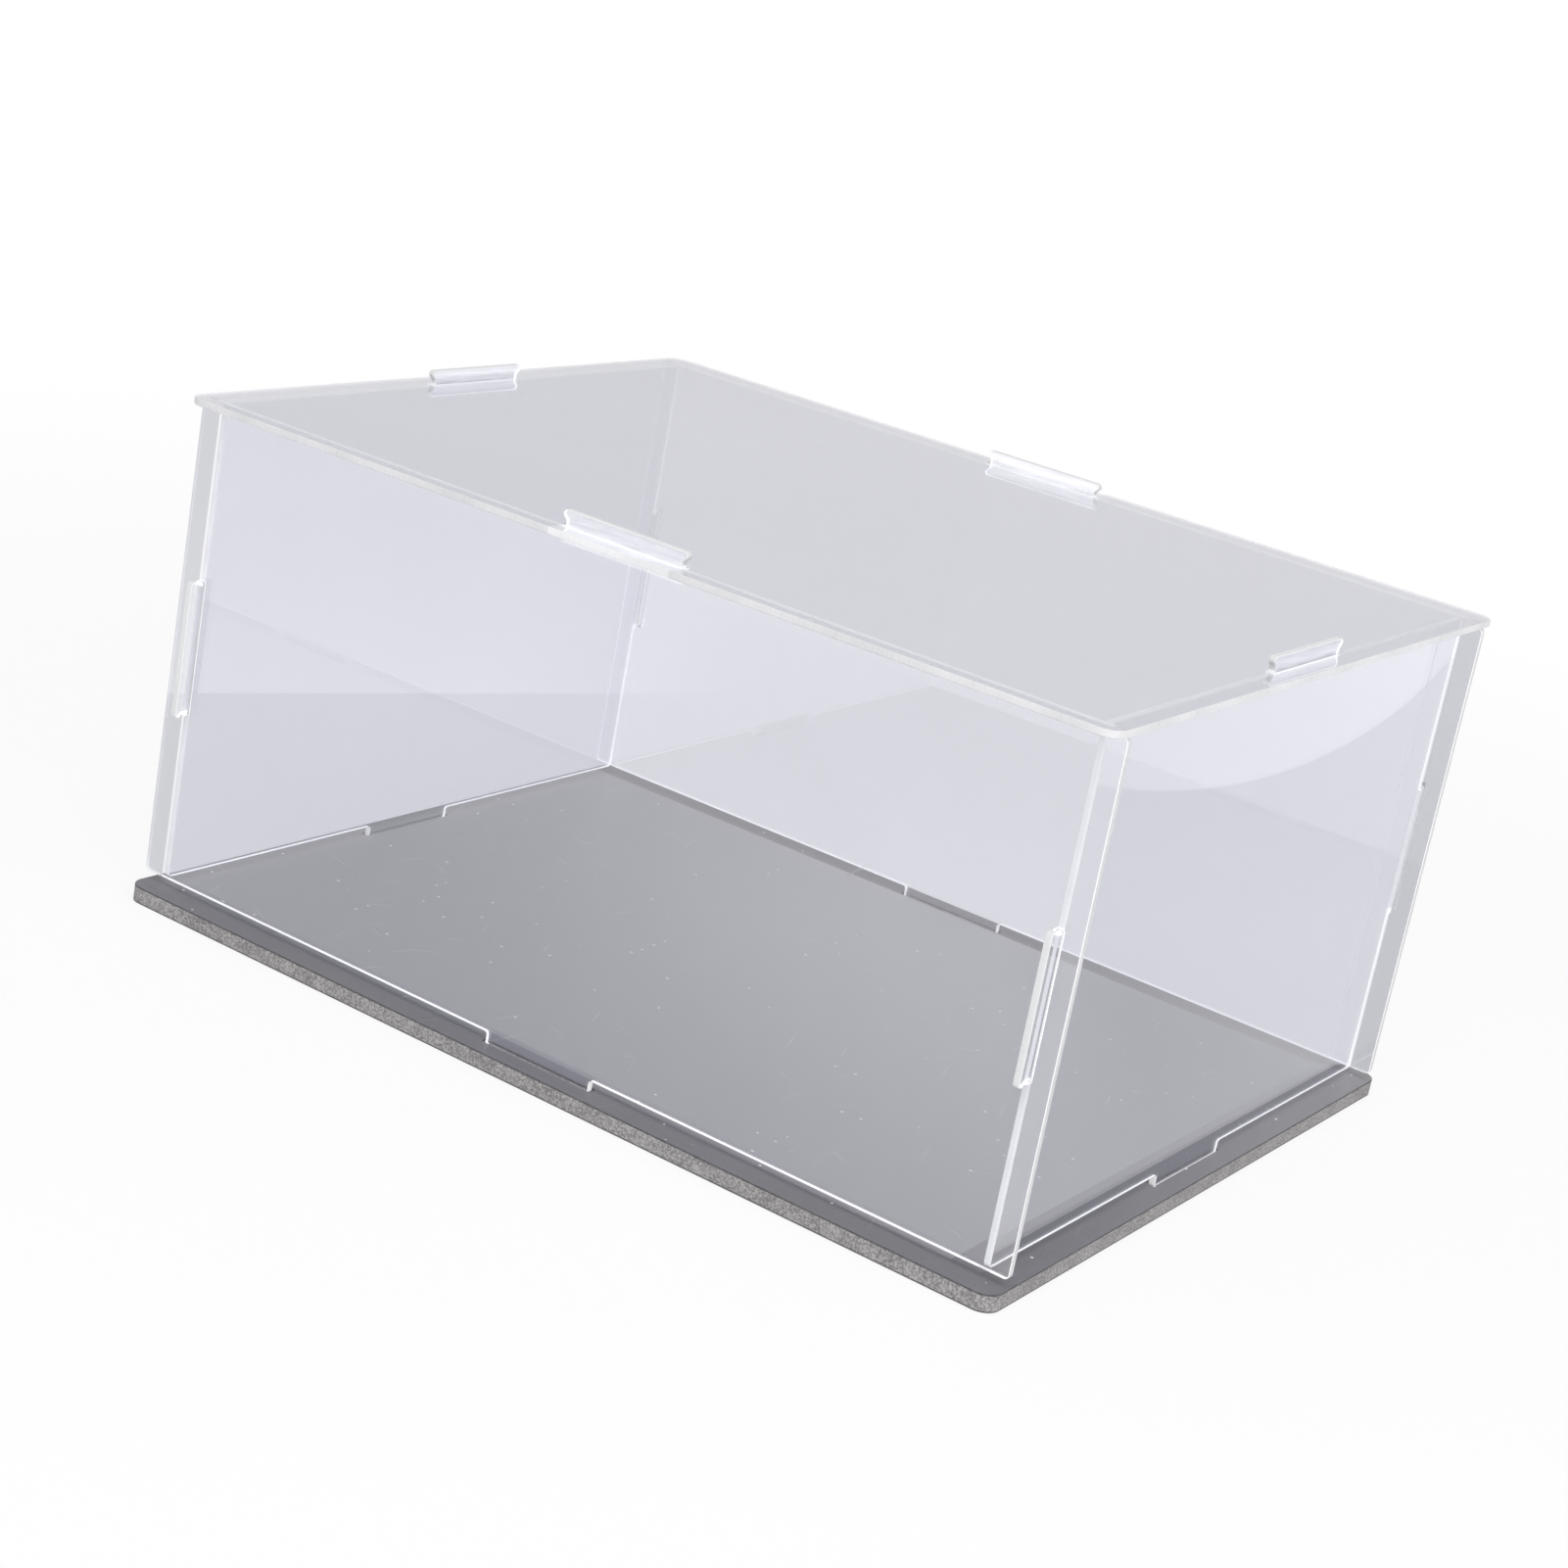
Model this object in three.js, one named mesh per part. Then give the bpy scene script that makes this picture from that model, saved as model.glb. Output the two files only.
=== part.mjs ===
// Display case: a cover of five clear sheets that plug together by tabs and slots,
// standing on a foam board base. Millimetres, +Z up, front towards -Y.
// The origin is at the centre of the underside of the base.

import * as THREE from 'three';

// Footprint of the base board and of the top sheet
const FOOTPRINT_WIDTH = 300;
const FOOTPRINT_DEPTH = 225;
const FOOTPRINT_CORNER = 5;

// Stock thicknesses
const SHEET = 2;
const BOARD = 5;

// Walls: height from foot to the top sheet, and setback of their outer faces from the footprint
const WALL_HEIGHT = 140.5;
const WALL_INSET = 6.3;
const WALL_CORNER = 1.5;

// Lock tab: a neck that passes through a slot, with ears that slope out past its ends
const LOCK_NECK = 38;
const LOCK_EAR = 1.3;
const LOCK_EAR_LIFT = 1.2;
const LOCK_HEAD_SIDE = 1.5;
const LOCK_ROUND = 1.2;
const LOCK_EAR_ROUND = 0.4;

// Foot tab: a plain tab that drops into the base and stays shy of its underside
const FOOT_WIDTH = 36;
const FOOT_SHY = 1.2;
const FOOT_ROUND = 1;
const FOOT_FILLET = 0.8;

// The cover stands with only the ends of its foot tabs in the base, not pushed home
const FOOT_ENGAGED = 1;

// Clearances: between butting sheets, beside a tab in its slot, and at the ends of a lock neck
const BUTT_GAP = 0.3;
const SLOT_PLAY = 0.25;
const SLOT_END_PLAY = 1;
const SLOT_CORNER = 0.8;

// Straight steps on each half of a rounded corner
const ARC_STEPS = 3;

// Sizes that follow from the driving dimensions
const footDepth = BOARD - FOOT_SHY;
const coverLift = BOARD + footDepth - FOOT_ENGAGED;
const slotWidth = SHEET + 2 * SLOT_PLAY;
const lockSlotLength = LOCK_NECK + 2 * SLOT_END_PLAY;
const footSlotLength = FOOT_WIDTH + 2 * (FOOT_FILLET + SLOT_PLAY);
const wallCentre = WALL_INSET + SHEET / 2;
const sideWallCentre = FOOTPRINT_WIDTH / 2 - wallCentre;
const endWallCentre = FOOTPRINT_DEPTH / 2 - wallCentre;
const sideWallLength = 2 * (endWallCentre - SHEET / 2 - BUTT_GAP);
const wallTop = WALL_HEIGHT - BUTT_GAP;

// Path through corners [x, y, radius], each rounded by an arc. Where two arcs need more than the
// side between them, both shrink to share it.
function roundedPath(path, corners) {
  const count = corners.length;
  const points = corners.map(([x, y]) => new THREE.Vector2(x, y));
  const sides = points.map((point, i) => points[(i + 1) % count].clone().sub(point));
  const turns = sides.map((side, i) => {
    const before = sides[(i + count - 1) % count];
    return Math.atan2(before.cross(side), before.dot(side));
  });
  const reaches = corners.map(([, , radius], i) => radius * Math.tan(Math.abs(turns[i]) / 2));
  for (let i = 0; i < count; i++) {
    const last = (i + count - 1) % count;
    const next = (i + 1) % count;
    const room = Math.min(
      1,
      sides[last].length() / (reaches[last] + reaches[i] || 1),
      sides[i].length() / (reaches[i] + reaches[next] || 1),
    );
    const radius = corners[i][2] * room;
    const reach = reaches[i] * room;
    const left = turns[i] > 0 ? 1 : -1;
    const heading = sides[last].angle();
    const start = points[i].clone().addScaledVector(sides[last].clone().normalize(), -reach);
    if (radius > 0) {
      const from = heading - (left * Math.PI) / 2;
      const centre = start.clone().add(
        new THREE.Vector2(-Math.sin(heading), Math.cos(heading)).multiplyScalar(left * radius),
      );
      path.absarc(centre.x, centre.y, radius, from, from + turns[i], left < 0);
    } else if (i === 0) {
      path.moveTo(start.x, start.y);
    } else {
      path.lineTo(start.x, start.y);
    }
  }
  path.closePath();
  return path;
}

// Corners of a rectangle about a centre, walked anticlockwise
function rectangle(x, y, width, height, radius) {
  const halfWidth = width / 2;
  const halfHeight = height / 2;
  return [
    [x - halfWidth, y - halfHeight, radius],
    [x + halfWidth, y - halfHeight, radius],
    [x + halfWidth, y + halfHeight, radius],
    [x - halfWidth, y + halfHeight, radius],
  ];
}

function slot(x, y, width, height) {
  return roundedPath(new THREE.Path(), rectangle(x, y, width, height, SLOT_CORNER));
}

// Corners of a lock tab as [along the edge, out of the edge, radius]
function lockTab() {
  const neck = LOCK_NECK / 2;
  const ear = neck + LOCK_EAR;
  const underside = BUTT_GAP + SHEET + LOCK_EAR_LIFT;
  const shoulder = underside + LOCK_EAR;
  const crown = shoulder + LOCK_HEAD_SIDE;
  return [
    [-neck, 0, 0],
    [-neck, underside, LOCK_EAR_ROUND],
    [-ear, shoulder, LOCK_EAR_ROUND],
    [-ear, crown, LOCK_ROUND],
    [ear, crown, LOCK_ROUND],
    [ear, shoulder, LOCK_EAR_ROUND],
    [neck, underside, LOCK_EAR_ROUND],
    [neck, 0, 0],
  ];
}

function footTab() {
  const half = FOOT_WIDTH / 2;
  return [
    [-half, 0, FOOT_FILLET],
    [-half, footDepth, FOOT_ROUND],
    [half, footDepth, FOOT_ROUND],
    [half, 0, FOOT_FILLET],
  ];
}

// Places a tab at the middle of a wall's edge: heading is the way that the outline runs along it
function onEdge(tab, x, y, heading) {
  const cos = Math.cos(heading);
  const sin = Math.sin(heading);
  return tab.map(([along, out, radius]) => [
    x + along * cos + out * sin,
    y + along * sin - out * cos,
    radius,
  ]);
}

// Wall outline with its foot at y = 0: a foot tab below, a lock tab on top, and on request
// a lock tab on each upright edge
function wallShape(length, uprightTabs) {
  const half = length / 2;
  const middle = wallTop / 2;
  const [lowLeft, lowRight, highRight, highLeft] = rectangle(0, middle, length, wallTop, WALL_CORNER);
  const right = uprightTabs ? onEdge(lockTab(), half, middle, Math.PI / 2) : [];
  const left = uprightTabs ? onEdge(lockTab(), -half, middle, -Math.PI / 2) : [];
  return roundedPath(new THREE.Shape(), [
    lowLeft,
    ...onEdge(footTab(), 0, 0, 0),
    lowRight,
    ...right,
    highRight,
    ...onEdge(lockTab(), 0, wallTop, Math.PI),
    highLeft,
    ...left,
  ]);
}

// Front or back wall: upright slots near its ends take the side walls' lock tabs
function endWallShape() {
  const shape = wallShape(FOOTPRINT_WIDTH, false);
  for (const x of [-sideWallCentre, sideWallCentre]) {
    shape.holes.push(slot(x, wallTop / 2, slotWidth, lockSlotLength));
  }
  return shape;
}

function sideWallShape() {
  return wallShape(sideWallLength, true);
}

// Base board or top sheet: the footprint with a slot above or below the middle of each wall
function footprintShape(slotLength) {
  const corners = rectangle(0, 0, FOOTPRINT_WIDTH, FOOTPRINT_DEPTH, FOOTPRINT_CORNER);
  const shape = roundedPath(new THREE.Shape(), corners);
  for (const side of [-1, 1]) {
    shape.holes.push(slot(0, side * endWallCentre, slotLength, slotWidth));
    shape.holes.push(slot(side * sideWallCentre, 0, slotWidth, slotLength));
  }
  return shape;
}

// Clear cast acrylic with laser-polished edges
function clearAcrylic() {
  return new THREE.MeshStandardMaterial({
    color: 0xe4e6ec,
    roughness: 0.08,
    metalness: 0,
    transparent: true,
    opacity: 0.3,
  });
}

// Expanded-PVC foam board with a satin skin
function greyFoamBoard() {
  return new THREE.MeshStandardMaterial({ color: 0x828187, roughness: 0.55, metalness: 0 });
}

function cutFlat(name, shape, thickness, material) {
  const options = { depth: thickness, bevelEnabled: false, curveSegments: ARC_STEPS };
  const mesh = new THREE.Mesh(new THREE.ExtrudeGeometry(shape, options), material);
  mesh.name = name;
  return mesh;
}

// A wall is cut flat in X and Y, then stood up: its thickness runs towards -Y
function endWall(name, y) {
  const wall = cutFlat(name, endWallShape(), SHEET, clearAcrylic());
  wall.rotation.x = Math.PI / 2;
  wall.position.y = y + SHEET / 2;
  return wall;
}

// A side wall is stood up and turned, so that its thickness runs towards +X
function sideWall(name, x) {
  const wall = cutFlat(name, sideWallShape(), SHEET, clearAcrylic());
  wall.rotation.set(Math.PI / 2, Math.PI / 2, 0);
  wall.position.x = x - SHEET / 2;
  return wall;
}

function topPanel() {
  const panel = cutFlat('top_panel', footprintShape(lockSlotLength), SHEET, clearAcrylic());
  panel.position.z = WALL_HEIGHT;
  return panel;
}

function baseBoard() {
  return cutFlat('base_board', footprintShape(footSlotLength), BOARD, greyFoamBoard());
}

const cover = new THREE.Group();
cover.position.z = coverLift;
cover.add(
  endWall('front_panel', -endWallCentre),
  endWall('back_panel', endWallCentre),
  sideWall('left_panel', -sideWallCentre),
  sideWall('right_panel', sideWallCentre),
  topPanel(),
);

const displayCase = new THREE.Group();
displayCase.add(baseBoard(), cover);

export default displayCase;
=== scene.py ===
import math
import bmesh
import bpy
from mathutils import Matrix, Quaternion, Vector


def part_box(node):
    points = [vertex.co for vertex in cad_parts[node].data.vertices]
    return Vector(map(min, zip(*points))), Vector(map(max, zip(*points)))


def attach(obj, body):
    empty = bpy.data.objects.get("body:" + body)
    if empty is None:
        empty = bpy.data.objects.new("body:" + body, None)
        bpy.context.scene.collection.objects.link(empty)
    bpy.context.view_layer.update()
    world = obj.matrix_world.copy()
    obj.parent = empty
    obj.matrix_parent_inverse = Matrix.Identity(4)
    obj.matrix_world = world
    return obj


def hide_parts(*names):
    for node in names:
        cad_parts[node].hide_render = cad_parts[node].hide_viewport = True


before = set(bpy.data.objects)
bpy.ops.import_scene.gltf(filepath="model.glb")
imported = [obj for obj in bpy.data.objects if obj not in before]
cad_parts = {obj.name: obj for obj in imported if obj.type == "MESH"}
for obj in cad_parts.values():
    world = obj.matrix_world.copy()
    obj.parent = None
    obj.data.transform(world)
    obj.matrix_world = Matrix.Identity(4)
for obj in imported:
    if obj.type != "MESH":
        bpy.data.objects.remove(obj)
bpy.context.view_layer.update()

# Camera
# It looks down on the front right corner of the case through a short telephoto lens,
# and is held crooked, so that the case leans in the picture.
CAMERA_PLACE = Vector((0.4426, -0.7145, 0.3417))
CAMERA_AZIMUTH = math.radians(31.32)
CAMERA_ELEVATION = math.radians(17.33)
CAMERA_ROLL = math.radians(10.95)
LENS_MM = 70.1
LENS_SHIFT = (-0.031, -0.022)

scene = bpy.context.scene
scene.view_settings.view_transform = "Standard"
lens = bpy.data.cameras.new("camera")
lens.lens = LENS_MM
lens.shift_x, lens.shift_y = LENS_SHIFT
camera = bpy.data.objects.new("camera", lens)
sight = Vector((
    -math.sin(CAMERA_AZIMUTH) * math.cos(CAMERA_ELEVATION),
    math.cos(CAMERA_AZIMUTH) * math.cos(CAMERA_ELEVATION),
    -math.sin(CAMERA_ELEVATION),
))
camera.location = CAMERA_PLACE
camera.rotation_mode = "QUATERNION"
camera.rotation_quaternion = sight.to_track_quat("-Z", "Y") @ Quaternion((0, 0, 1), CAMERA_ROLL)
scene.collection.objects.link(camera)
scene.camera = camera

# Studio
# A white sweep under an even sky of soft light, with one large soft lamp above the front right
# and a weaker one from the right. Two white cards show only in the panels.
WHITE = (1, 1, 1, 1)
FLOOR_REACH = 40.0
FLOOR_DROP = 0.0002
FLOOR_TONE = (0.97, 0.97, 0.97, 1)
SHADOW_SHARE = 0.2
SHADOW_FADE = (0.25, 0.8)
SKY_LIGHT = 0.55
CEILING = (0.66, 0.66, 0.68, 1)
CEILING_FADE = (0.03, 0.14)
CARD_PEAK = 1.28
CARD_FADE = (0.5, 1.0)


def add_node(tree, kind, **given):
    """Makes a shader node. A given value sets the property or input of that name; a socket is linked."""
    made = tree.nodes.new("ShaderNode" + kind)
    for name, value in given.items():
        if name in made.bl_rna.properties:
            setattr(made, name, value)
        else:
            feed(tree, made.inputs[name.replace("_", " ")], value)
    return made


def feed(tree, socket, value):
    if isinstance(value, bpy.types.NodeSocket):
        tree.links.new(value, socket)
    else:
        socket.default_value = value


def calculate(tree, operation, *values):
    """Output of a Math node with these inputs."""
    made = tree.nodes.new("ShaderNodeMath")
    made.operation = operation
    for socket, value in zip(made.inputs, values):
        feed(tree, socket, value)
    return made.outputs[0]


def ramp(tree, value, low, high, start=0.0, end=1.0):
    """The value taken from low..high to start..end."""
    made = add_node(tree, "MapRange", interpolation_type="SMOOTHSTEP")
    for socket, number in zip(made.inputs, (value, low, high, start, end)):
        feed(tree, socket, number)
    return made.outputs["Result"]


def blend(tree, share, first, second):
    """The first colour, with the second mixed in by the share."""
    return add_node(tree, "MixRGB", Fac=share, Color1=first, Color2=second).outputs[0]


def mix_shaders(tree, share, first, second):
    """The first shader, with the second mixed in by the share."""
    mix = add_node(tree, "MixShader", Fac=share)
    tree.links.new(first.outputs[0], mix.inputs[1])
    tree.links.new(second.outputs[0], mix.inputs[2])
    return mix


def shown_rays(tree):
    """1 on rays from the camera, and on those that a panel mirrors or lets through."""
    path = add_node(tree, "LightPath")
    seen = calculate(tree, "MAXIMUM", path.outputs["Is Camera Ray"], path.outputs["Is Glossy Ray"])
    return calculate(tree, "MAXIMUM", seen, path.outputs["Is Transmission Ray"])


def empty_material(name):
    material = bpy.data.materials.new(name)
    material.use_nodes = True
    material.node_tree.nodes.clear()
    return material, material.node_tree


def show(tree, shader):
    output = tree.nodes.new("ShaderNodeOutputMaterial")
    tree.links.new(shader.outputs[0], output.inputs["Surface"])


def white_sweep():
    """Matt white, mixed with a white glow that leaves a share of the shadow close to the case."""
    material, tree = empty_material("white_sweep")
    matt = add_node(tree, "BsdfDiffuse", Color=FLOOR_TONE)
    glow = add_node(tree, "Emission", Color=WHITE, Strength=1.0)
    away = add_node(tree, "VectorMath", operation="LENGTH")
    tree.links.new(add_node(tree, "TexCoord").outputs["Object"], away.inputs[0])
    glow_share = ramp(tree, away.outputs["Value"], *SHADOW_FADE, 1 - SHADOW_SHARE, 1.0)
    shown_share = calculate(tree, "MULTIPLY", shown_rays(tree), glow_share)
    show(tree, mix_shaders(tree, shown_share, matt, glow))
    return material


floor_mesh = bpy.data.meshes.new("floor")
corner_signs = ((-1, -1), (1, -1), (1, 1), (-1, 1))
corners = [(x * FLOOR_REACH, y * FLOOR_REACH, -FLOOR_DROP) for x, y in corner_signs]
floor_mesh.from_pydata(corners, [], [(0, 1, 2, 3)])
floor_mesh.materials.append(white_sweep())
floor = bpy.data.objects.new("floor", floor_mesh)
scene.collection.objects.link(floor)

sky = bpy.data.worlds.new("sky")
sky.use_nodes = True
sky_tree = sky.node_tree
sky_tree.nodes.clear()
soft_light = add_node(sky_tree, "Background", Color=WHITE, Strength=SKY_LIGHT)
heading = add_node(sky_tree, "TexCoord").outputs["Generated"]
upward = add_node(sky_tree, "SeparateXYZ", Vector=heading).outputs["Z"]
studio = blend(sky_tree, ramp(sky_tree, upward, *CEILING_FADE), WHITE, CEILING)
white_wall = add_node(sky_tree, "Background", Color=studio, Strength=1.0)
sky_mix = mix_shaders(sky_tree, shown_rays(sky_tree), soft_light, white_wall)
sky_output = sky_tree.nodes.new("ShaderNodeOutputWorld")
sky_tree.links.new(sky_mix.outputs[0], sky_output.inputs["Surface"])
scene.world = sky


def soft_lamp(name, place, aim, size, power):
    """A lamp that lights the case and is mirrored in its panels, and that the camera doesn't see."""
    light = bpy.data.lights.new(name, "AREA")
    light.shape = "ELLIPSE"
    light.size, light.size_y = size
    light.energy = power
    holder = bpy.data.objects.new(name, light)
    holder.location = place
    holder.rotation_mode = "QUATERNION"
    holder.rotation_quaternion = (Vector(aim) - Vector(place)).to_track_quat("-Z", "Y")
    holder.visible_camera = False
    holder.visible_transmission = False
    scene.collection.objects.link(holder)
    return holder


soft_lamp("key_lamp", place=(0.55, -1.0, 1.5), aim=(0, 0, 0), size=(1.2, 1.2), power=13.5)
soft_lamp("fill_lamp", place=(1.4, -0.5, 0.9), aim=(0, 0, 0), size=(0.9, 0.9), power=5.0)
round_card = soft_lamp(
    "round_card", place=(0.30, 0.20, 0.155), aim=(0.18, -0.08, 0.155), size=(0.25, 0.25), power=0.058,
)
round_card.visible_transmission = True
long_card = soft_lamp(
    "long_card", place=(-0.1396, -0.230, 0.0875), aim=(-0.0486, -0.189, 0.0875), size=(0.25, 0.08),
    power=0.0316,
)
long_card.data.shape = "RECTANGLE"
long_card.data.use_nodes = True
card_tree = long_card.data.node_tree
card_place = add_node(card_tree, "NewGeometry").outputs["Parametric"]
card_axes = add_node(card_tree, "SeparateXYZ", Vector=card_place).outputs
up_share = calculate(card_tree, "MULTIPLY", card_axes["Y"], CARD_PEAK)
up_fade = calculate(card_tree, "SUBTRACT", CARD_PEAK, up_share)
side_fade = ramp(card_tree, card_axes["X"], *CARD_FADE, 1.0, 0.0)
card_glow = calculate(card_tree, "MULTIPLY", up_fade, side_fade)
feed(card_tree, card_tree.nodes["Emission"].inputs["Strength"], card_glow)
for card in (round_card, long_card):
    card.visible_diffuse = False

# Base board
# A slab of expanded-PVC foam board, sawn to shape: a smooth satin skin above and below, a paler
# grainy core on the cut edge, and a slot by each side for the cover's foot tabs. It lies loose.
BOARD_CORNER = 0.005
BOARD_ARRIS = 0.00012
SKIN = 0.00045
FOOT_WIDTH = 0.036
FOOT_FILLET = 0.0008
SLOT_PLAY = 0.00025
SLOT_CORNER = 0.0008
ARC_STEP = math.radians(7.5)
SMOOTH_BELOW = math.radians(15)

base_low, base_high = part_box("base_board")
top_low, top_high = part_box("top_panel")
front_low, front_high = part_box("front_panel")
right_low, right_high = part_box("right_panel")
footprint = base_high - base_low
board = footprint.z
sheet = top_high.z - top_low.z
end_wall_y = -(front_low.y + front_high.y) / 2
side_wall_x = (right_low.x + right_high.x) / 2
slot_width = sheet + 2 * SLOT_PLAY
foot_slot_length = FOOT_WIDTH + 2 * (FOOT_FILLET + SLOT_PLAY)


def rounded_loop(corners):
    """Points of a closed outline through corners (x, y, radius), with an arc at each corner."""
    loop = []
    for i, (x, y, radius) in enumerate(corners):
        here = Vector((x, y))
        way_in = (here - Vector(corners[i - 1][:2])).normalized()
        way_out = (Vector(corners[(i + 1) % len(corners)][:2]) - here).normalized()
        turn = math.atan2(way_in.x * way_out.y - way_in.y * way_out.x, way_in.dot(way_out))
        start = here - way_in * (radius * math.tan(abs(turn) / 2))
        across = Vector((-way_in.y, way_in.x)) * math.copysign(1, turn)
        steps = max(1, round(abs(turn) / ARC_STEP)) if radius else 0
        for k in range(steps + 1):
            angle = abs(turn) * k / max(steps, 1)
            forward = way_in * (radius * math.sin(angle))
            sideways = across * (radius * (1 - math.cos(angle)))
            loop.append(start + forward + sideways)
    return loop


def rectangle(x, y, width, height, radius):
    """Corners of a rectangle about a centre, anticlockwise."""
    right, top = width / 2, height / 2
    return [(x - right, y - top, radius), (x + right, y - top, radius),
            (x + right, y + top, radius), (x - right, y + top, radius)]


def slot(x, y, width, height):
    """A slot's outline, clockwise because the material lies outside it."""
    return rounded_loop(rectangle(x, y, width, height, SLOT_CORNER))[::-1]


def inset_loop(loop, inset):
    """The loop moved into the material, which lies to the left of its travel."""
    moved = []
    for i, here in enumerate(loop):
        way_in = (here - loop[i - 1]).normalized()
        way_out = (loop[(i + 1) % len(loop)] - here).normalized()
        left_in = Vector((-way_in.y, way_in.x))
        left_out = Vector((-way_out.y, way_out.x))
        moved.append(here + (left_in + left_out) * (inset / (1 + left_in.dot(left_out))))
    return moved


def plate(name, loops, profile, place, materials):
    """A flat cut piece as a closed mesh. The profile lists (inset, height, material of the band above)
    from its lower face to its upper one, which both take the first material."""
    bm = bmesh.new()
    levels = []
    for inset, height, _ in profile:
        levels.append([
            [bm.verts.new((p.x, p.y, height)) for p in inset_loop(loop, inset)]
            for loop in loops
        ])
    for below, above, (_, _, index) in zip(levels, levels[1:], profile):
        for low, high in zip(below, above):
            for i in range(len(low)):
                band = bm.faces.new((low[i - 1], low[i], high[i], high[i - 1]))
                band.material_index = index
    for level, up in ((levels[0], -1), (levels[-1], 1)):
        rim = [bm.edges.get((ring[i - 1], ring[i])) for ring in level for i in range(len(ring))]
        bmesh.ops.triangle_fill(bm, edges=rim, use_beauty=True, normal=(0, 0, up))
    bmesh.ops.transform(bm, matrix=place, verts=bm.verts)
    bmesh.ops.recalc_face_normals(bm, faces=bm.faces)
    for face in bm.faces:
        face.smooth = True
    mesh = bpy.data.meshes.new(name)
    bm.to_mesh(mesh)
    bm.free()
    mesh.set_sharp_from_angle(angle=SMOOTH_BELOW)
    for material in materials:
        mesh.materials.append(material)
    piece = bpy.data.objects.new(name, mesh)
    scene.collection.objects.link(piece)
    return piece


def new_group(name, inputs, outputs):
    """A shader node group with float or vector inputs and float outputs, and its end nodes."""
    group = bpy.data.node_groups.new(name, "ShaderNodeTree")
    for label, kind in inputs.items():
        group.interface.new_socket(label, in_out="INPUT", socket_type=kind)
    for label in outputs:
        group.interface.new_socket(label, in_out="OUTPUT", socket_type="NodeSocketFloat")
    entry = group.nodes.new("NodeGroupInput")
    leave = group.nodes.new("NodeGroupOutput")
    return group, entry.outputs, leave.inputs


def place_group(tree, group, **given):
    made = tree.nodes.new("ShaderNodeGroup")
    made.node_tree = group
    for name, value in given.items():
        feed(tree, made.inputs[name.replace("_", " ")], value)
    return made.outputs


SPECK_SIZES = (0.022, 0.08)
SPECK_SPACING = 0.006
SCRATCH_TURNS = (0.35, 1.25, 2.3, 2.9)
SCRATCH_SWAY = 0.0015
SCRATCH_STRETCH = 36
SCRATCH_SCALE = 250.0
SCRATCH_WIDTH = (0.015, 0.045)
SCRATCH_CHANCE = (0.35, 1.0)


def handling_marks():
    """Lint specks and hair scratches on a flat face, as left by unpacking and wiping."""
    inputs = {
        "Vector": "NodeSocketVector",
        "Speck Spacing": "NodeSocketFloat",
        "Speck Share": "NodeSocketFloat",
    }
    group, given, result = new_group("handling_marks", inputs, ("Specks", "Scratches"))
    face = given["Vector"]
    per_metre = calculate(group, "DIVIDE", 1.0, given["Speck Spacing"])
    cells = add_node(group, "TexVoronoi", voronoi_dimensions="2D", Vector=face, Scale=per_metre)
    chance = add_node(group, "SeparateColor", Color=cells.outputs["Color"]).outputs
    reach = ramp(group, chance[1], 0.0, 1.0, *SPECK_SIZES)
    near = calculate(group, "LESS_THAN", cells.outputs["Distance"], reach)
    rare = calculate(group, "LESS_THAN", chance[0], given["Speck Share"])
    group.links.new(calculate(group, "MULTIPLY", near, rare), result["Specks"])
    sway = add_node(group, "TexNoise", Vector=face, Scale=30.0, Detail=1.0).outputs["Color"]
    bent = add_node(group, "MixRGB", blend_type="ADD", Fac=SCRATCH_SWAY, Color1=face, Color2=sway)
    lines = None
    for turn in SCRATCH_TURNS:
        turned = add_node(
            group, "Mapping", vector_type="TEXTURE", Vector=bent.outputs[0],
            Rotation=(0, 0, turn), Scale=(1, SCRATCH_STRETCH, 1),
        )
        strokes = add_node(
            group, "TexVoronoi", voronoi_dimensions="2D", Vector=turned.outputs[0], Scale=SCRATCH_SCALE,
        )
        kept = add_node(group, "SeparateColor", Color=strokes.outputs["Color"]).outputs
        thin = ramp(group, strokes.outputs["Distance"], *SCRATCH_WIDTH, 1.0, 0.0)
        one = calculate(group, "MULTIPLY", thin, ramp(group, kept[0], *SCRATCH_CHANCE))
        lines = one if lines is None else calculate(group, "MAXIMUM", lines, one)
    group.links.new(lines, result["Scratches"])
    return group


MARKS = handling_marks()
SKIN_TONES = ((0.154, 0.150, 0.166, 1), (0.182, 0.178, 0.195, 1))
# Painted light: the skin is painted lighter towards the right and a little to the back
PAINTED_LIGHT_SKIN = (0.288, 0.281, 0.298, 1)
PAINTED_LIGHT_SLANT = 0.4
PAINTED_LIGHT_FROM = (0.10, 0.19)
# Painted reflection under the cover, a paler field for the veil that the clear walls lay over the board:
# its tones, its borders from the walls, and the painted pool of light in it
VEIL_TONES = ((0.241, 0.239, 0.266, 1), (0.459, 0.456, 0.469, 1))
VEIL_LEFT = (-0.006, -0.002)
VEIL_BORDER = (0.001, 0.0025)
VEIL_RIGHT = (0.0103, 0.0108, 0.25, 1.0)
POOL_BACK_SLANT = 0.5
POOL_BACK = (-0.16, 0.10)
POOL_RIGHT_SLANT = 0.61
POOL_RIGHT = (0.08, 0.14, 1.0, 0.42)
POOL_LEFT = (0.0, 0.14, 0.6, 1.0)
LINT = (0.78, 0.78, 0.80, 1)
LINT_SHARE = 0.12
HAIR_STRENGTH = (0.1, 0.5)
SKIN_ROUGHNESS = (0.2, 0.8, 0.27, 0.31)


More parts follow.
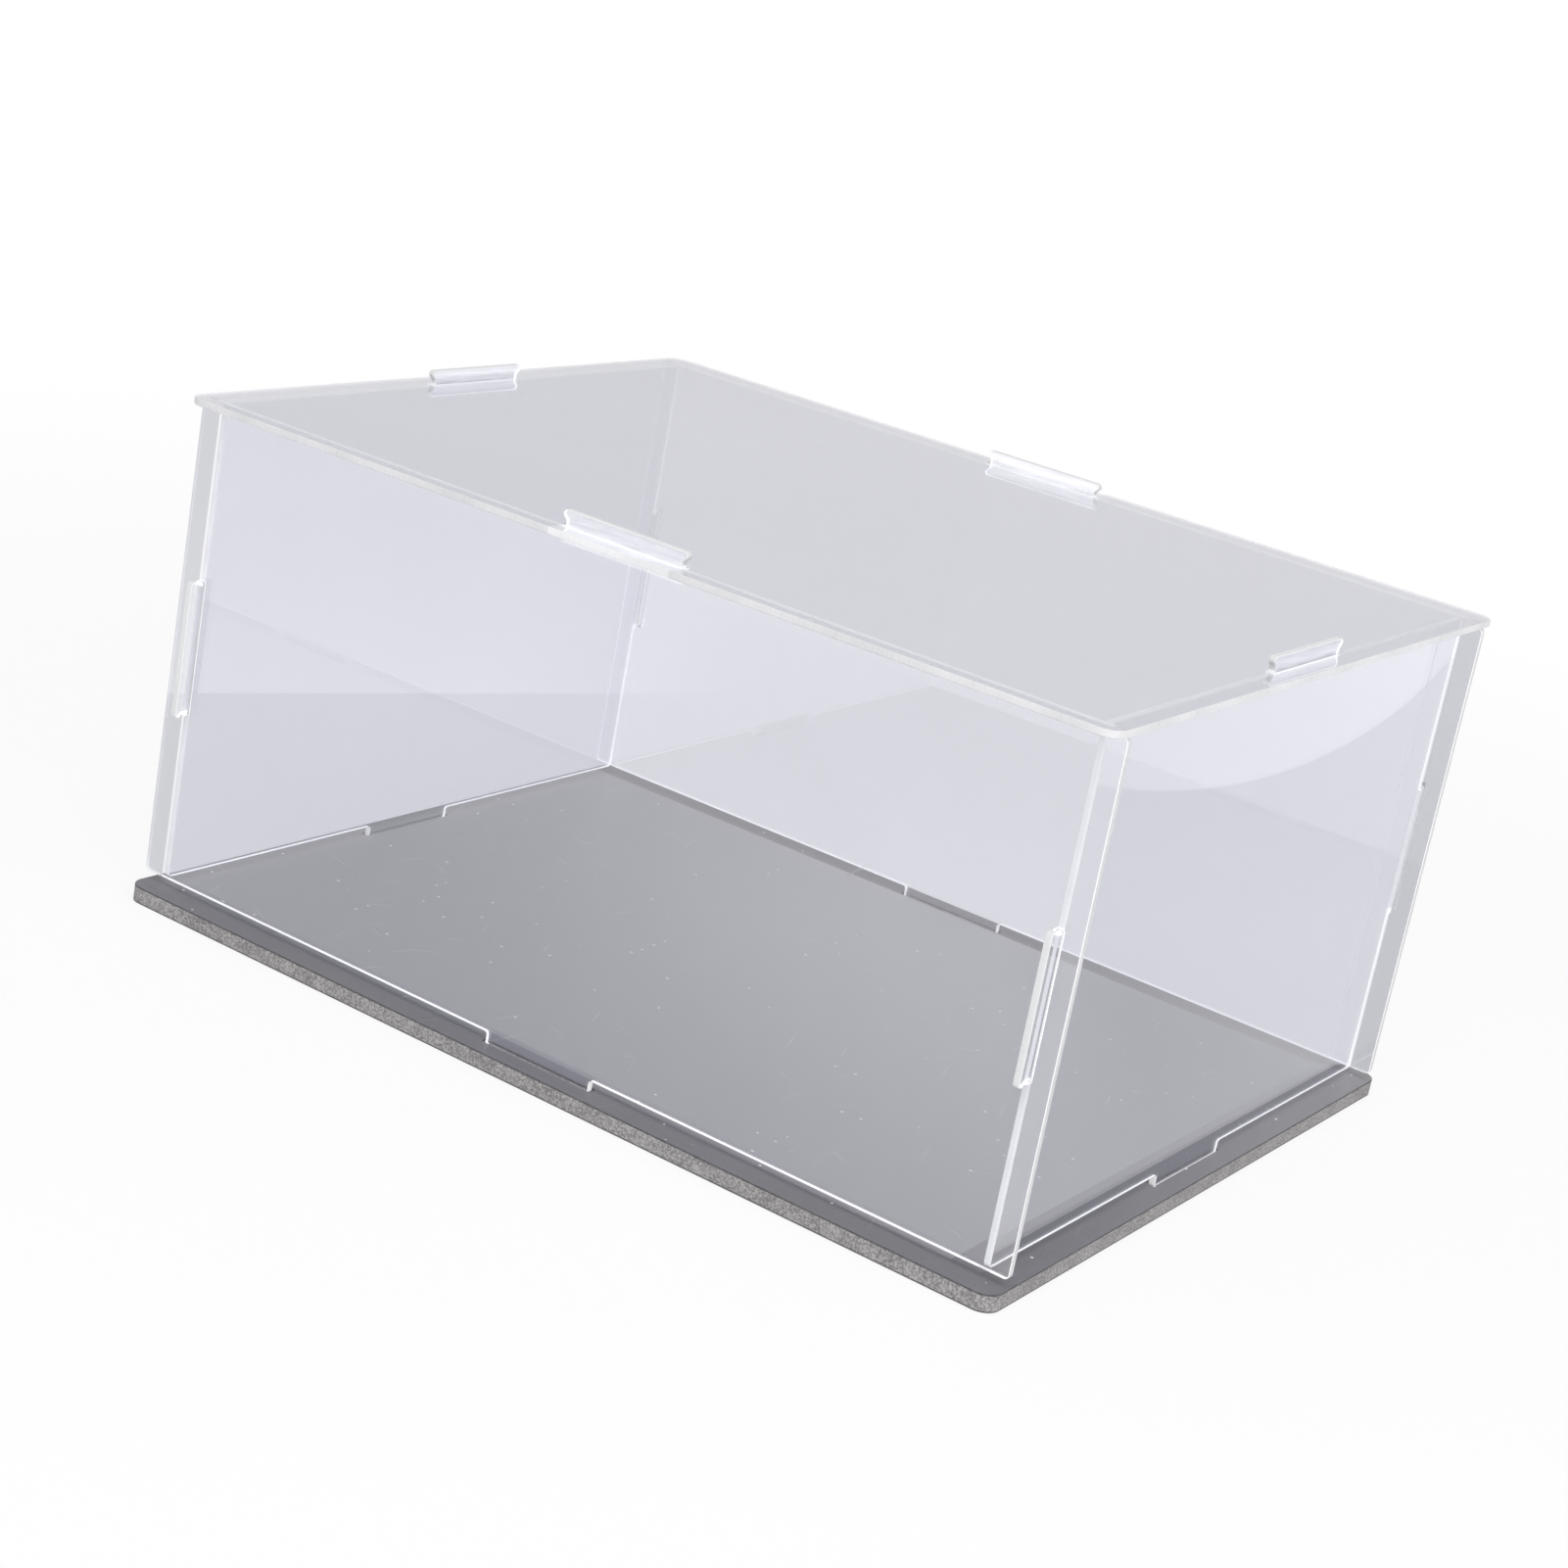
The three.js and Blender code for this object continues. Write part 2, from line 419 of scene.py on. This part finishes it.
def board_skin():
    """Satin skin, painted lighter to the right, a painted light. Under the cover it is painted paler, a
    painted reflection that stands in for the veil that the clear walls lay over it."""
    material, tree = empty_material("board_skin")
    place = add_node(tree, "TexCoord").outputs["Object"]
    axes = add_node(tree, "SeparateXYZ", Vector=place).outputs
    cloud = add_node(tree, "TexNoise", Vector=place, Scale=18.0, Detail=3.0)
    pebble = add_node(tree, "TexNoise", Vector=place, Scale=1600.0, Detail=2.0)
    marks = place_group(
        tree, MARKS, Vector=place, Speck_Spacing=SPECK_SPACING, Speck_Share=LINT_SHARE,
    )
    even = blend(tree, ramp(tree, cloud.outputs["Fac"], 0.0, 1.0), *SKIN_TONES)
    slanted = calculate(tree, "MULTIPLY_ADD", axes["Y"], PAINTED_LIGHT_SLANT, axes["X"])
    tone = blend(tree, ramp(tree, slanted, *PAINTED_LIGHT_FROM), even, PAINTED_LIGHT_SKIN)
    from_left = calculate(tree, "ADD", axes["X"], side_wall_x)
    from_right = calculate(tree, "SUBTRACT", side_wall_x, axes["X"])
    from_ends = calculate(tree, "SUBTRACT", end_wall_y, calculate(tree, "ABSOLUTE", axes["Y"]))
    left_border = ramp(tree, from_left, *VEIL_LEFT)
    end_border = ramp(tree, from_ends, *VEIL_BORDER)
    right_border = ramp(tree, from_right, *VEIL_BORDER)
    between = calculate(tree, "MULTIPLY", left_border, end_border)
    short = calculate(tree, "MULTIPLY", right_border, ramp(tree, from_right, *VEIL_RIGHT))
    indoors = calculate(tree, "MULTIPLY", between, short)
    # Painted pool of light in the painted reflection: brighter towards the back, weaker to the right and by
    # the left wall
    rearward = calculate(tree, "ADD", axes["Y"], calculate(tree, "MULTIPLY", axes["X"], POOL_BACK_SLANT))
    rightward = calculate(tree, "ADD", axes["X"], calculate(tree, "MULTIPLY", axes["Y"], POOL_RIGHT_SLANT))
    pool = calculate(
        tree, "MULTIPLY", ramp(tree, rearward, *POOL_BACK), ramp(tree, rightward, *POOL_RIGHT),
    )
    pool = calculate(tree, "MULTIPLY", pool, ramp(tree, from_left, *POOL_LEFT))
    veiled = blend(tree, indoors, tone, blend(tree, pool, *VEIL_TONES))
    hair_share = ramp(tree, indoors, 0.0, 1.0, *HAIR_STRENGTH)
    hairs = calculate(tree, "MULTIPLY", marks["Scratches"], hair_share)
    dusty = blend(tree, calculate(tree, "MAXIMUM", marks["Specks"], hairs), veiled, LINT)
    rough = ramp(tree, pebble.outputs["Fac"], *SKIN_ROUGHNESS)
    bump = add_node(tree, "Bump", Strength=0.12, Distance=0.0001, Height=pebble.outputs["Fac"])
    shader = add_node(
        tree, "BsdfPrincipled", Base_Color=dusty, Roughness=rough, Specular_IOR_Level=0.5,
        Normal=bump.outputs[0],
    )
    show(tree, shader)
    return material


SKIN_EDGE_TONES = ((0.070, 0.067, 0.072, 1), (0.125, 0.120, 0.125, 1))
NICKS = (0.35, 0.7)


def skin_edge():
    """The pressed edge of the skin, a thin dark line above and below the core."""
    material, tree = empty_material("board_skin_edge")
    place = add_node(tree, "TexCoord").outputs["Object"]
    nick = add_node(tree, "TexNoise", Vector=place, Scale=900.0, Detail=3.0).outputs["Fac"]
    tone = blend(tree, ramp(tree, nick, *NICKS), *SKIN_EDGE_TONES)
    bump = add_node(tree, "Bump", Strength=0.3, Distance=0.0001, Height=nick)
    show(tree, add_node(tree, "BsdfPrincipled", Base_Color=tone, Roughness=0.6, Normal=bump.outputs[0]))
    return material


CORE_TONES = ((0.190, 0.181, 0.184, 1), (0.480, 0.464, 0.466, 1))
CORE_GRAINS = (0.42, 0.86)
CORE_BLOTCH_SHARE = 0.25
CORE_PORES = (0.1, 0.6)


def board_core():
    """Foam cells laid open by the saw: fine pale and dark grains."""
    material, tree = empty_material("board_core")
    place = add_node(tree, "TexCoord").outputs["Object"]
    cells = add_node(tree, "TexVoronoi", Vector=place, Scale=2300.0).outputs["Distance"]
    grain = add_node(tree, "TexNoise", Vector=place, Scale=1500.0, Detail=3.0).outputs["Fac"]
    blotch = add_node(tree, "TexNoise", Vector=place, Scale=160.0, Detail=2.0).outputs["Fac"]
    mottle = calculate(tree, "ADD", grain, calculate(tree, "MULTIPLY", blotch, CORE_BLOTCH_SHARE))
    tone = blend(tree, ramp(tree, mottle, *CORE_GRAINS), *CORE_TONES)
    height = calculate(tree, "ADD", ramp(tree, cells, *CORE_PORES), grain)
    bump = add_node(tree, "Bump", Strength=0.4, Distance=0.0002, Height=height)
    show(tree, add_node(tree, "BsdfPrincipled", Base_Color=tone, Roughness=0.75, Normal=bump.outputs[0]))
    return material


board_loops = [rounded_loop(rectangle(0, 0, footprint.x, footprint.y, BOARD_CORNER))]
for side in (-1, 1):
    board_loops.append(slot(0, side * end_wall_y, foot_slot_length, slot_width))
    board_loops.append(slot(side * side_wall_x, 0, slot_width, foot_slot_length))
board_profile = [
    (BOARD_ARRIS, 0, 1),
    (0, BOARD_ARRIS, 1),
    (0, SKIN, 2),
    (0, board - SKIN, 1),
    (0, board - BOARD_ARRIS, 1),
    (BOARD_ARRIS, board, 1),
]
board_materials = [board_skin(), skin_edge(), board_core()]
base_board = plate("foam_base_board", board_loops, board_profile, Matrix(), board_materials)
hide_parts("base_board")
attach(base_board, "base")

# Front and back walls
# Two alike sheets of clear cast acrylic, laser cut, as wide as the base. Each drops a foot tab into
# the base, pushes a lock tab up through the top sheet, and takes the side walls' tabs in two slots.
FOOT_DEPTH = 0.0038
FOOT_ROUND = 0.001
LOCK_NECK = 0.038
LOCK_EAR = 0.0013
LOCK_EAR_LIFT = 0.0012
LOCK_HEAD_SIDE = 0.0015
LOCK_ROUND = 0.0012
LOCK_EAR_ROUND = 0.0004
WALL_CORNER = 0.0015
BUTT_GAP = 0.0003
SLOT_END_PLAY = 0.001
SHEET_ARRIS = 0.0002

wall_foot = front_low.z + FOOT_DEPTH
wall_height = top_low.z - BUTT_GAP - wall_foot
lock_slot_length = LOCK_NECK + 2 * SLOT_END_PLAY


def lock_tab():
    """Corners of a lock tab as (along its edge, out of its edge, radius)."""
    neck = LOCK_NECK / 2
    ear = neck + LOCK_EAR
    underside = BUTT_GAP + sheet + LOCK_EAR_LIFT
    shoulder = underside + LOCK_EAR
    crown = shoulder + LOCK_HEAD_SIDE
    half = [
        (neck, 0, 0),
        (neck, underside, LOCK_EAR_ROUND),
        (ear, shoulder, LOCK_EAR_ROUND),
        (ear, crown, LOCK_ROUND),
    ]
    return [(-along, out, radius) for along, out, radius in half] + half[::-1]


def foot_tab():
    """Corners of a foot tab, given in the same way."""
    half = FOOT_WIDTH / 2
    return [
        (-half, 0, FOOT_FILLET),
        (-half, FOOT_DEPTH, FOOT_ROUND),
        (half, FOOT_DEPTH, FOOT_ROUND),
        (half, 0, FOOT_FILLET),
    ]


def on_edge(tab, x, y, heading):
    """A tab at the middle of a wall's edge, where the outline travels along heading."""
    cos, sin = math.cos(heading), math.sin(heading)
    return [
        (x + along * cos + out * sin, y + along * sin - out * cos, radius)
        for along, out, radius in tab
    ]


def wall_loop(length, upright_tabs):
    """Outline of a wall with its foot at y = 0."""
    half, middle = length / 2, wall_height / 2
    low_left, low_right, high_right, high_left = rectangle(0, middle, length, wall_height, WALL_CORNER)
    right = on_edge(lock_tab(), half, middle, math.pi / 2) if upright_tabs else []
    left = on_edge(lock_tab(), -half, middle, -math.pi / 2) if upright_tabs else []
    return rounded_loop([
        low_left, *on_edge(foot_tab(), 0, 0, 0),
        low_right, *right,
        high_right, *on_edge(lock_tab(), 0, wall_height, math.pi),
        high_left, *left,
    ])


MARGIN_FADE = 0.0004
SMEAR_TONE = (0.72, 0.72, 0.74, 1)
SMEAR_SHARE = (0.4, 0.75, 0.0, 0.06)
# Painted glow at the lock tabs: its fades, its share at the head, and its streaks
TAB_GLOW_FADE = 0.0003
TAB_GLOW_HEAD_FADE = 0.001
TAB_GLOW_HEAD_SHARE = 0.6
TAB_GLOW_STREAKS = (0.3, 0.7, 0.5, 1.25)
STREAK_STRETCH = (0.04, 0.04, 1)
END_FADE = 0.0012
SCRATCH_ROUGHNESS = 0.1
SHADOW_TINT = (0.965, 0.965, 0.97, 1)


def clear_acrylic(name, flat, tint, coat, tab_glow_zone, tab_glow, lap=0.0):
    """Clear sheet with a faint tint, lying in the two axes that flat names; past the walls its tone is
    painted.
    The zone after coat says where a painted glow makes a lock tab white, as (axis, start, stop, axis along
    the edge): there many edges lie behind each other. Lap widens the painted end tone at the front left."""
    material, tree = empty_material(name)
    place = add_node(tree, "TexCoord").outputs["Object"]
    axes = add_node(tree, "SeparateXYZ", Vector=place).outputs
    face = add_node(tree, "CombineXYZ", X=axes[flat[0]], Y=axes[flat[1]]).outputs[0]
    marks = place_group(tree, MARKS, Vector=face, Speck_Spacing=SPECK_SPACING, Speck_Share=0.0)

    # Past the walls the sheet takes a painted tone, lighter on the walls and darker on the top,
    #     and on the end walls two corners take a deep painted shade that reflections don't show
    on_left = calculate(tree, "LESS_THAN", axes["X"], 0.0)
    in_front = calculate(tree, "LESS_THAN", axes["Y"], 0.0)
    front_left = calculate(tree, "MULTIPLY", on_left, in_front)
    lapped = calculate(tree, "MULTIPLY_ADD", front_left, lap, calculate(tree, "ABSOLUTE", axes["X"]))
    past_sides = calculate(tree, "SUBTRACT", lapped, side_wall_x + sheet / 2)
    past_ends = calculate(tree, "SUBTRACT", calculate(tree, "ABSOLUTE", axes["Y"]), end_wall_y + sheet / 2)
    margin = ramp(tree, calculate(tree, "MAXIMUM", past_sides, past_ends), 0.0, MARGIN_FADE)
    same_sign = calculate(tree, "GREATER_THAN", calculate(tree, "MULTIPLY", axes["X"], axes["Y"]), 0.0)
    mirrored = add_node(tree, "LightPath").outputs["Is Glossy Ray"]
    deep = calculate(tree, "MULTIPLY", same_sign, calculate(tree, "SUBTRACT", 1.0, mirrored))
    painted_margin_tone = blend(tree, deep, tint["light"], tint["deep"])
    tint_and_painted_margins = blend(tree, margin, tint["sheet"], painted_margin_tone)
    smear = add_node(tree, "TexNoise", Vector=place, Scale=22.0, Detail=4.0, Distortion=0.6).outputs["Fac"]
    colour = blend(tree, ramp(tree, smear, *SMEAR_SHARE), tint_and_painted_margins, SMEAR_TONE)

    # A painted glow that makes a lock tab white, with fine level streaks
    axis, start, stop, along = tab_glow_zone
    out = calculate(tree, "ABSOLUTE", axes[axis])
    beside = calculate(tree, "ABSOLUTE", axes[along])
    neck = ramp(tree, out, start - TAB_GLOW_FADE, start)
    head = ramp(tree, out, stop, stop + TAB_GLOW_HEAD_FADE, tab_glow, TAB_GLOW_HEAD_SHARE * tab_glow)
    length = ramp(tree, beside, LOCK_NECK / 2, LOCK_NECK / 2 + END_FADE, 1.0, 0.0)
    white = calculate(tree, "MULTIPLY", length, calculate(tree, "MULTIPLY", neck, head))
    stretched = add_node(tree, "Mapping", Vector=place, Scale=STREAK_STRETCH).outputs[0]
    streak = add_node(tree, "TexNoise", Vector=stretched, Scale=2400.0).outputs["Fac"]
    streaky = calculate(tree, "MULTIPLY", white, ramp(tree, streak, *TAB_GLOW_STREAKS))
    painted_tab_glow = add_node(tree, "CombineColor", Red=streaky, Green=streaky, Blue=streaky)

    rough = calculate(tree, "MULTIPLY", marks["Scratches"], SCRATCH_ROUGHNESS)
    wave = add_node(tree, "TexNoise", Vector=place, Scale=9.0, Detail=0.0)
    bump = add_node(tree, "Bump", Strength=0.02, Distance=0.002, Height=wave.outputs["Fac"])
    shader = add_node(
        tree, "BsdfPrincipled", Base_Color=colour, Roughness=rough, IOR=1.49, Transmission_Weight=1.0,
        Coat_Weight=coat, Coat_IOR=1.6, Coat_Roughness=0.02, Normal=bump.outputs[0],
        Emission_Color=painted_tab_glow.outputs[0], Emission_Strength=1.0,
    )
    clear = add_node(tree, "BsdfTransparent", Color=SHADOW_TINT)
    in_shadow = add_node(tree, "LightPath").outputs["Is Shadow Ray"]
    show(tree, mix_shaders(tree, in_shadow, shader, clear))
    material.cycles.emission_sampling = "NONE"
    return material


EDGE_TINTS = ((0.0, 0.005, 0.02), (0.08, 0.08, 0.095))
EDGE_PATCHES = (0.3, 0.7)
EDGE_ROUGHNESS = (0.3, 0.7, 0.25, 0.4)
PROUD_FADE = (0.0001, 0.0004)
PROUD_TONE = (0.66, 0.665, 0.675, 1)
PROUD_GLOW = (0.1, 0.1, 0.1, 1)
INNER_GLOW = 0.62
SLOT_GLOW_START = 0.0003
SLOT_GLOW_END = 0.0006


def cut_edge(name, across, pale, glow, outer, reach, tabs, slot_glow=INNER_GLOW):
    """Laser-cut edge, painted pale and given a painted glow for the light that the sheet gathers, with fine
    beam lines across it. Glow holds up to reach from the middle and outer past it; proud tabs have their
    own tone and glow. From inside the sheet it glows by INNER_GLOW, or by slot_glow at the side walls."""
    material, tree = empty_material(name)
    place = add_node(tree, "TexCoord").outputs["Object"]
    axes = add_node(tree, "SeparateXYZ", Vector=place).outputs
    run = add_node(tree, "Mapping", Vector=place, Scale=across).outputs[0]
    beam = add_node(tree, "TexNoise", Vector=run, Scale=2600.0, Detail=2.0).outputs["Fac"]
    patch = add_node(tree, "TexNoise", Vector=run, Scale=60.0, Detail=2.0).outputs["Fac"]
    past_ends = calculate(tree, "SUBTRACT", calculate(tree, "ABSOLUTE", axes["Y"]), end_wall_y + sheet / 2)
    past_top = calculate(tree, "SUBTRACT", axes["Z"], top_high.z)
    proud = ramp(tree, calculate(tree, "MAXIMUM", past_ends, past_top), *PROUD_FADE)
    clearer = calculate(tree, "MULTIPLY", proud, tabs)
    tones = [(*(pale + more for more in tint), 1) for tint in EDGE_TINTS]
    streaked = blend(tree, ramp(tree, patch, *EDGE_PATCHES), *tones)
    tone = blend(tree, clearer, streaked, PROUD_TONE)
    rough = ramp(tree, beam, *EDGE_ROUGHNESS)
    bump = add_node(tree, "Bump", Strength=0.25, Distance=0.00005, Height=beam)
    from_inside = add_node(tree, "NewGeometry").outputs["Backfacing"]
    beside = calculate(tree, "ABSOLUTE", axes["X"])
    level = ramp(tree, beside, reach, reach + END_FADE, glow, outer)
    lit = blend(tree, clearer, level, PROUD_GLOW)
    off_side = calculate(tree, "ABSOLUTE", calculate(tree, "SUBTRACT", beside, side_wall_x))
    slot_start = slot_width / 2 + SLOT_GLOW_START
    slot_end = slot_width / 2 + SLOT_GLOW_END
    inner = ramp(tree, off_side, slot_start, slot_end, slot_glow, INNER_GLOW)
    gathered = blend(tree, from_inside, lit, inner)
    shader = add_node(
        tree, "BsdfPrincipled", Base_Color=tone, Roughness=rough, IOR=1.49,
        Emission_Color=gathered, Emission_Strength=1.0, Normal=bump.outputs[0],
    )
    show(tree, shader)
    material.cycles.emission_sampling = "NONE"
    return material


sheet_profile = [
    (SHEET_ARRIS, 0, 2),
    (0, SHEET_ARRIS, 1),
    (0, sheet - SHEET_ARRIS, 2),
    (SHEET_ARRIS, sheet, 2),
]
# End walls: the sheet's tint, a lighter painted tone past the side walls, and a deep painted shade at two
# corners
WALL_TINT_AND_SHADE = {
    "sheet": (0.868, 0.870, 0.91, 1),
    "deep": (0.38, 0.39, 0.43, 1),
    "light": (0.97, 0.97, 0.985, 1),
}
# Where the painted tab glow starts below the top sheet and stops above it
TAB_GLOW_BELOW = 0.0025
TAB_GLOW_ABOVE = 0.0024
tab_glow_span = (top_low.z - TAB_GLOW_BELOW, top_high.z + TAB_GLOW_ABOVE)
end_sheet = clear_acrylic(
    "end_wall_acrylic", flat="XZ", tint=WALL_TINT_AND_SHADE, coat=1.0, tab_glow_zone=("Z", *tab_glow_span, "X"),
    tab_glow=0.12, lap=0.0009,
)
# The end walls' edges are painted a darker tone than the others, a painted shade, with a painted glow
end_wall_edge = cut_edge(
    "end_wall_edge", across=(1, 0, 1), pale=0.58, glow=0.5, outer=0.05, reach=side_wall_x + sheet, tabs=1.0,
    slot_glow=0.2,
)
# The arrises are painted brighter with their own glow, a painted highlight
bright_arris = cut_edge(
    "bright_arris", across=(1, 1, 1), pale=0.66, glow=0.3, outer=0.3, reach=0.0, tabs=0.6,
)
end_loops = [wall_loop(footprint.x, False)]
for side in (-1, 1):
    end_loops.append(slot(side * side_wall_x, wall_height / 2, slot_width, lock_slot_length))
for name, node in (("clear_front_wall", "front_panel"), ("clear_back_wall", "back_panel")):
    _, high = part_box(node)
    stand = Matrix.Translation((0, high.y, wall_foot)) @ Matrix.Rotation(math.pi / 2, 4, "X")
    wall = plate(name, end_loops, sheet_profile, stand, [end_sheet, end_wall_edge, bright_arris])
    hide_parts(node)
    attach(wall, "cover")

# Side walls
# Two shorter sheets of the same acrylic between front and back. A lock tab on each upright edge
# goes through the front or back wall, one goes up through the top sheet, and a foot tab drops down.
# The same acrylic painted darker than the end walls, a painted shade, and lighter where the tabs pass the
# end walls
SIDE_TINT_AND_SHADE = {
    "sheet": (0.76, 0.77, 0.825, 1),
    "deep": (0.86, 0.865, 0.895, 1),
    "light": (0.86, 0.865, 0.895, 1),
}
# A wall's length laid along Y, its height along Z and its thickness along X
TURNED = Matrix(((0, 0, 1, 0), (1, 0, 0, 0), (0, 1, 0, 0), (0, 0, 0, 1)))

side_sheet = clear_acrylic(
    "side_wall_acrylic", flat="YZ", tint=SIDE_TINT_AND_SHADE, coat=0.15, tab_glow_zone=("Z", *tab_glow_span, "Y"),
    tab_glow=0.10,
)
side_wall_edge = cut_edge(
    "side_wall_edge", across=(0, 1, 1), pale=0.7, glow=0.3, outer=0.3, reach=0.0, tabs=1.0,
)
back_low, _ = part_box("back_panel")
side_length = back_low.y - front_high.y - 2 * BUTT_GAP
side_loops = [wall_loop(side_length, True)]
for name, node in (("clear_left_wall", "left_panel"), ("clear_right_wall", "right_panel")):
    low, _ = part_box(node)
    stand = Matrix.Translation((low.x, 0, wall_foot)) @ TURNED
    wall = plate(name, side_loops, sheet_profile, stand, [side_sheet, side_wall_edge, bright_arris])
    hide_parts(node)
    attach(wall, "cover")

# Top sheet
# One acrylic sheet of the base's outline, laid over the walls. A slot by each side lets a lock tab
# through, whose ears keep the sheet from lifting off.
# Top sheet: the sheet's tint, and a darker painted tone past the walls
TOP_TINT_AND_SHADE = {
    "sheet": (0.855, 0.860, 0.915, 1),
    "deep": (0.82, 0.825, 0.86, 1),
    "light": (0.82, 0.825, 0.86, 1),
}
top_glow_zone = ("Y", end_wall_y - sheet, footprint.y, "X")
top_sheet = clear_acrylic(
    "top_acrylic", flat="XY", tint=TOP_TINT_AND_SHADE, coat=1.0, tab_glow_zone=top_glow_zone, tab_glow=0.10,
)
top_edge = cut_edge(
    "top_sheet_edge", across=(1, 1, 0), pale=0.7, glow=0.12, outer=0.0, reach=LOCK_NECK / 2, tabs=0.0,
)
top_loops = [rounded_loop(rectangle(0, 0, footprint.x, footprint.y, BOARD_CORNER))]
for side in (-1, 1):
    top_loops.append(slot(0, side * end_wall_y, lock_slot_length, slot_width))
    top_loops.append(slot(side * side_wall_x, 0, slot_width, lock_slot_length))
lid_place = Matrix.Translation((0, 0, top_low.z))
lid = plate("clear_top_sheet", top_loops, sheet_profile, lid_place, [top_sheet, top_edge, top_edge])
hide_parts("top_panel")
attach(lid, "cover")
